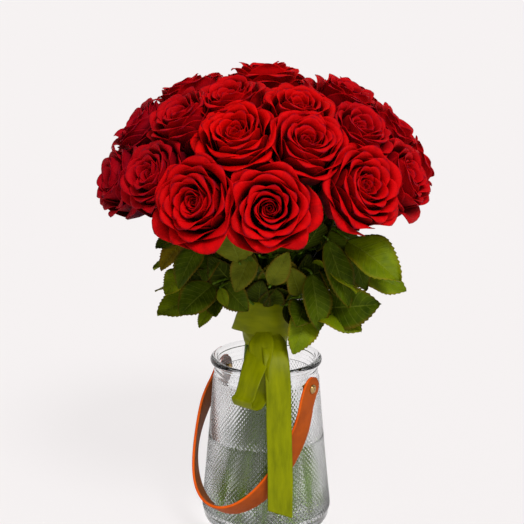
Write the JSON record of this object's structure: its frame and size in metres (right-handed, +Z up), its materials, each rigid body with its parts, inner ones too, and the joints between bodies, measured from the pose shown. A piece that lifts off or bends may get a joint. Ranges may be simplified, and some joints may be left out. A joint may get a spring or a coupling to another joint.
{
  "type": "rose bouquet in vase",
  "caption": "Round hand-tied bouquet of open red roses with a satin ribbon bow, standing in a clear pressed-glass vase that has a swinging leather strap handle.",
  "frame": {"origin": "centre of the vase's flat underside", "axes": "+Z up through the vase and bouquet; -Y is the front, where the bow and the strap hang"},
  "size_m": [0.3137, 0.322, 0.471],
  "materials": {
    "petals": "matte",
    "stems": "satin",
    "foliage": "satin",
    "glass": "gloss",
    "leather": "satin",
    "brass": "satin",
    "ribbon": "satin"
  },
  "bodies": {
    "arrangement": {"rose_bloom_01": "petals", "rose_bloom_02": "petals", "rose_bloom_03": "petals", "rose_bloom_04": "petals", "rose_bloom_05": "petals", "rose_bloom_06": "petals", "rose_bloom_07": "petals", "rose_bloom_08": "petals", "rose_bloom_09": "petals", "rose_bloom_10": "petals", "rose_bloom_11": "petals", "rose_bloom_12": "petals", "rose_bloom_13": "petals", "rose_bloom_14": "petals", "rose_bloom_15": "petals", "rose_bloom_16": "petals", "rose_bloom_17": "petals", "rose_bloom_18": "petals", "rose_bloom_19": "petals", "rose_bloom_20": "petals", "rose_bloom_21": "petals", "rose_bloom_22": "petals", "rose_bloom_23": "petals", "rose_bloom_24": "petals", "rose_bloom_25": "petals", "rose_stem_01": "stems", "rose_stem_02": "stems", "rose_stem_03": "stems", "rose_stem_04": "stems", "rose_stem_05": "stems", "rose_stem_06": "stems", "rose_stem_07": "stems", "rose_stem_08": "stems", "rose_stem_09": "stems", "rose_stem_10": "stems", "rose_stem_11": "stems", "rose_stem_12": "stems", "rose_stem_13": "stems", "rose_stem_14": "stems", "rose_stem_15": "stems", "rose_stem_16": "stems", "rose_stem_17": "stems", "rose_stem_18": "stems", "rose_stem_19": "stems", "rose_stem_20": "stems", "rose_stem_21": "stems", "rose_stem_22": "stems", "rose_stem_23": "stems", "rose_stem_24": "stems", "rose_stem_25": "stems", "leaf_spray_right_upper": "foliage", "leaf_spray_right_lower": "foliage", "leaf_spray_left": "foliage", "leaf_spray_back": "foliage", "vase": "glass", "rivet_right": "brass", "rivet_left": "brass", "ribbon_bow": "ribbon", "ribbon_tail": "ribbon"},
    "handle": {"leather_strap": "leather"}
  },
  "joints": [
    {"name": "handle_swing", "type": "hinge", "parent": "arrangement", "child": "handle", "pos_m": [0, 0, 0.154], "axis": [-0.7934, 0.6088, 0], "range_deg": [0, 80], "deforming": ["ribbon_tail"]}
  ]
}
